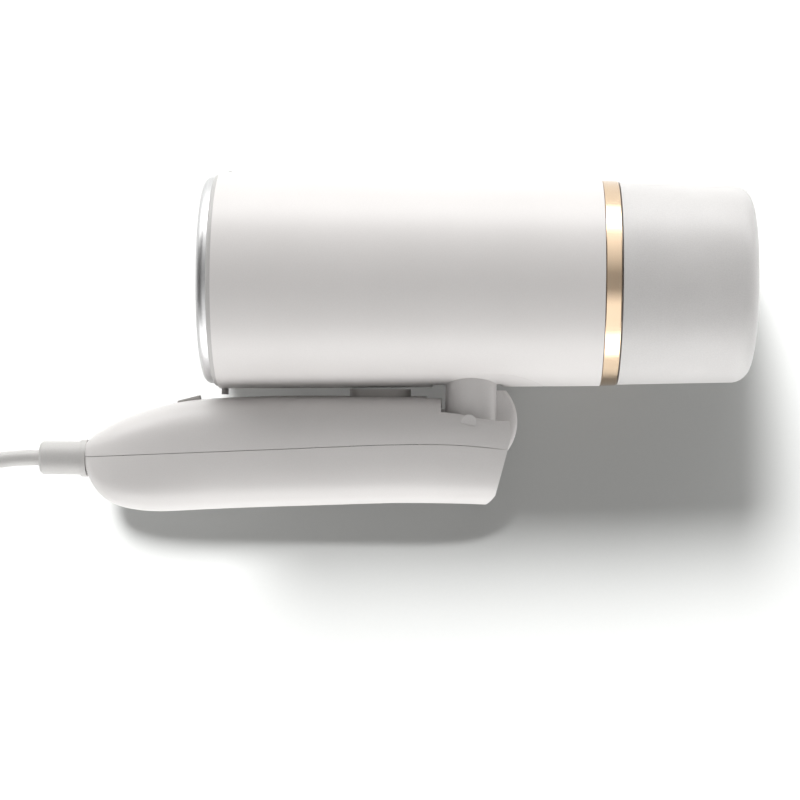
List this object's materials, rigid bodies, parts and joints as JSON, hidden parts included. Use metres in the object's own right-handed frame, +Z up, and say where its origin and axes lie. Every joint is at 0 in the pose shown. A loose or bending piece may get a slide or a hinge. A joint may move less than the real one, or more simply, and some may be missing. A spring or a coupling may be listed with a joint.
{
  "type": "foldable handheld garment steamer",
  "caption": "Folding handheld garment steamer: round barrel with steam plate, pull-off water tank, hinged handle with trigger and slider, and a mains lead.",
  "frame": {"origin": "middle of the base on which the folded steamer lies, without its lead", "axes": "+X along the barrel from the steam plate to the tank, -Y towards the folded handle, +Z up, square to the plane that halves barrel and handle"},
  "size_m": [0.3712, 0.1456, 0.072],
  "materials": {
    "white_plastic": "satin moulded ABS",
    "trim_grey": "satin moulded grey-white plastic",
    "lens": "clear lens",
    "soft_grey": "soft matt rubber",
    "gold": "polished champagne gold plating",
    "polished_aluminium": "polished",
    "silicone": "translucent silicone",
    "cast_aluminium": "as cast",
    "steel": "bright zinc",
    "bakelite": "matt black",
    "inner_plastic": "natural glass-filled nylon",
    "copper": "lacquered winding",
    "frosted_tank": "frosted translucent",
    "tank_grey": "translucent grey",
    "button_grey": "satin grey",
    "wire": "silicone insulated",
    "cord_grey": "light grey PVC",
    "tie_black": "soft matt strap",
    "pin_metal": "nickel plated"
  },
  "bodies": {
    "handle": {"hinge_drum": "white_plastic", "drum_screws": "steel", "hinge_pin": "steel", "handle_front_shell": "white_plastic", "handle_back_shell": "white_plastic", "handle_screws": "steel", "trigger_switch": "bakelite", "trigger_spring": "steel", "switch_block": "bakelite", "strain_relief": "cord_grey", "cord_clamp": "inner_plastic", "clamp_screws": "steel", "inner_lead": "cord_grey", "lead_wires": "wire", "mains_cord": "cord_grey", "cord_tail": "cord_grey", "cord_coil": "cord_grey", "cord_tie": "tie_black", "plug_body": "cord_grey", "plug_pins": "pin_metal"},
    "barrel": {"barrel_casing": "white_plastic", "front_bezel": "trim_grey", "indicator_lens": "lens", "rest_bumper": "soft_grey", "gold_ring": "gold", "steam_plate": "polished_aluminium", "plate_gasket": "silicone", "steam_chamber": "cast_aluminium", "heating_element": "steel", "chamber_cover": "steel", "thermostat": "bakelite", "thermal_fuse": "steel", "plate_screws": "steel", "heat_shield": "steel", "inner_frame": "inner_plastic", "pump_body": "inner_plastic", "pump_coil": "copper", "pump_spring": "steel", "inlet_hose": "silicone", "outlet_hose": "silicone", "tank_dock": "trim_grey", "dock_seal": "silicone", "frame_screws": "steel", "hinge_saddle": "white_plastic", "barrel_wires": "wire"},
    "tank": {"tank_shell": "frosted_tank", "tank_lid": "tank_grey", "tank_seal": "silicone", "valve_spring": "steel", "suction_tube": "silicone", "suction_weight": "steel"},
    "filler_cap": {"filler_plug": "soft_grey"},
    "valve": {"tank_valve": "tank_grey"},
    "trigger": {"steam_trigger": "button_grey"},
    "slider": {"power_slider": "button_grey"},
    "plunger": {"pump_plunger": "steel"}
  },
  "joints": [
    {"name": "fold", "type": "hinge", "parent": "handle", "child": "barrel", "pos_m": [0.0251, -0.02595, 0.036], "axis": [0, 0, -1], "range_deg": [0, 103]},
    {"name": "tank_pull", "type": "slide", "parent": "barrel", "child": "tank", "axis": [1, 0, 0], "range_m": [0, 0.06]},
    {"name": "filler_pull", "type": "slide", "parent": "tank", "child": "filler_cap", "axis": [-1, 0, 0], "range_m": [0, 0.006]},
    {"name": "valve_lift", "type": "slide", "parent": "tank", "child": "valve", "axis": [1, 0, 0], "range_m": [0, 0.0012], "stiffness_N_per_m": 150, "springref_m": -0.001, "deforming": ["valve_spring"]},
    {"name": "trigger_press", "type": "slide", "parent": "handle", "child": "trigger", "axis": [0, -1, 0], "range_m": [0, 0.0015], "stiffness_N_per_m": 600, "springref_m": -0.001, "deforming": ["trigger_spring"]},
    {"name": "slider_switch", "type": "slide", "parent": "handle", "child": "slider", "axis": [0.989, 0.1478, 0], "range_m": [0, 0.003]},
    {"name": "pump_stroke", "type": "slide", "parent": "barrel", "child": "plunger", "axis": [1, 0, 0], "range_m": [0, 0.0015], "stiffness_N_per_m": 400, "deforming": ["pump_spring"]}
  ]
}
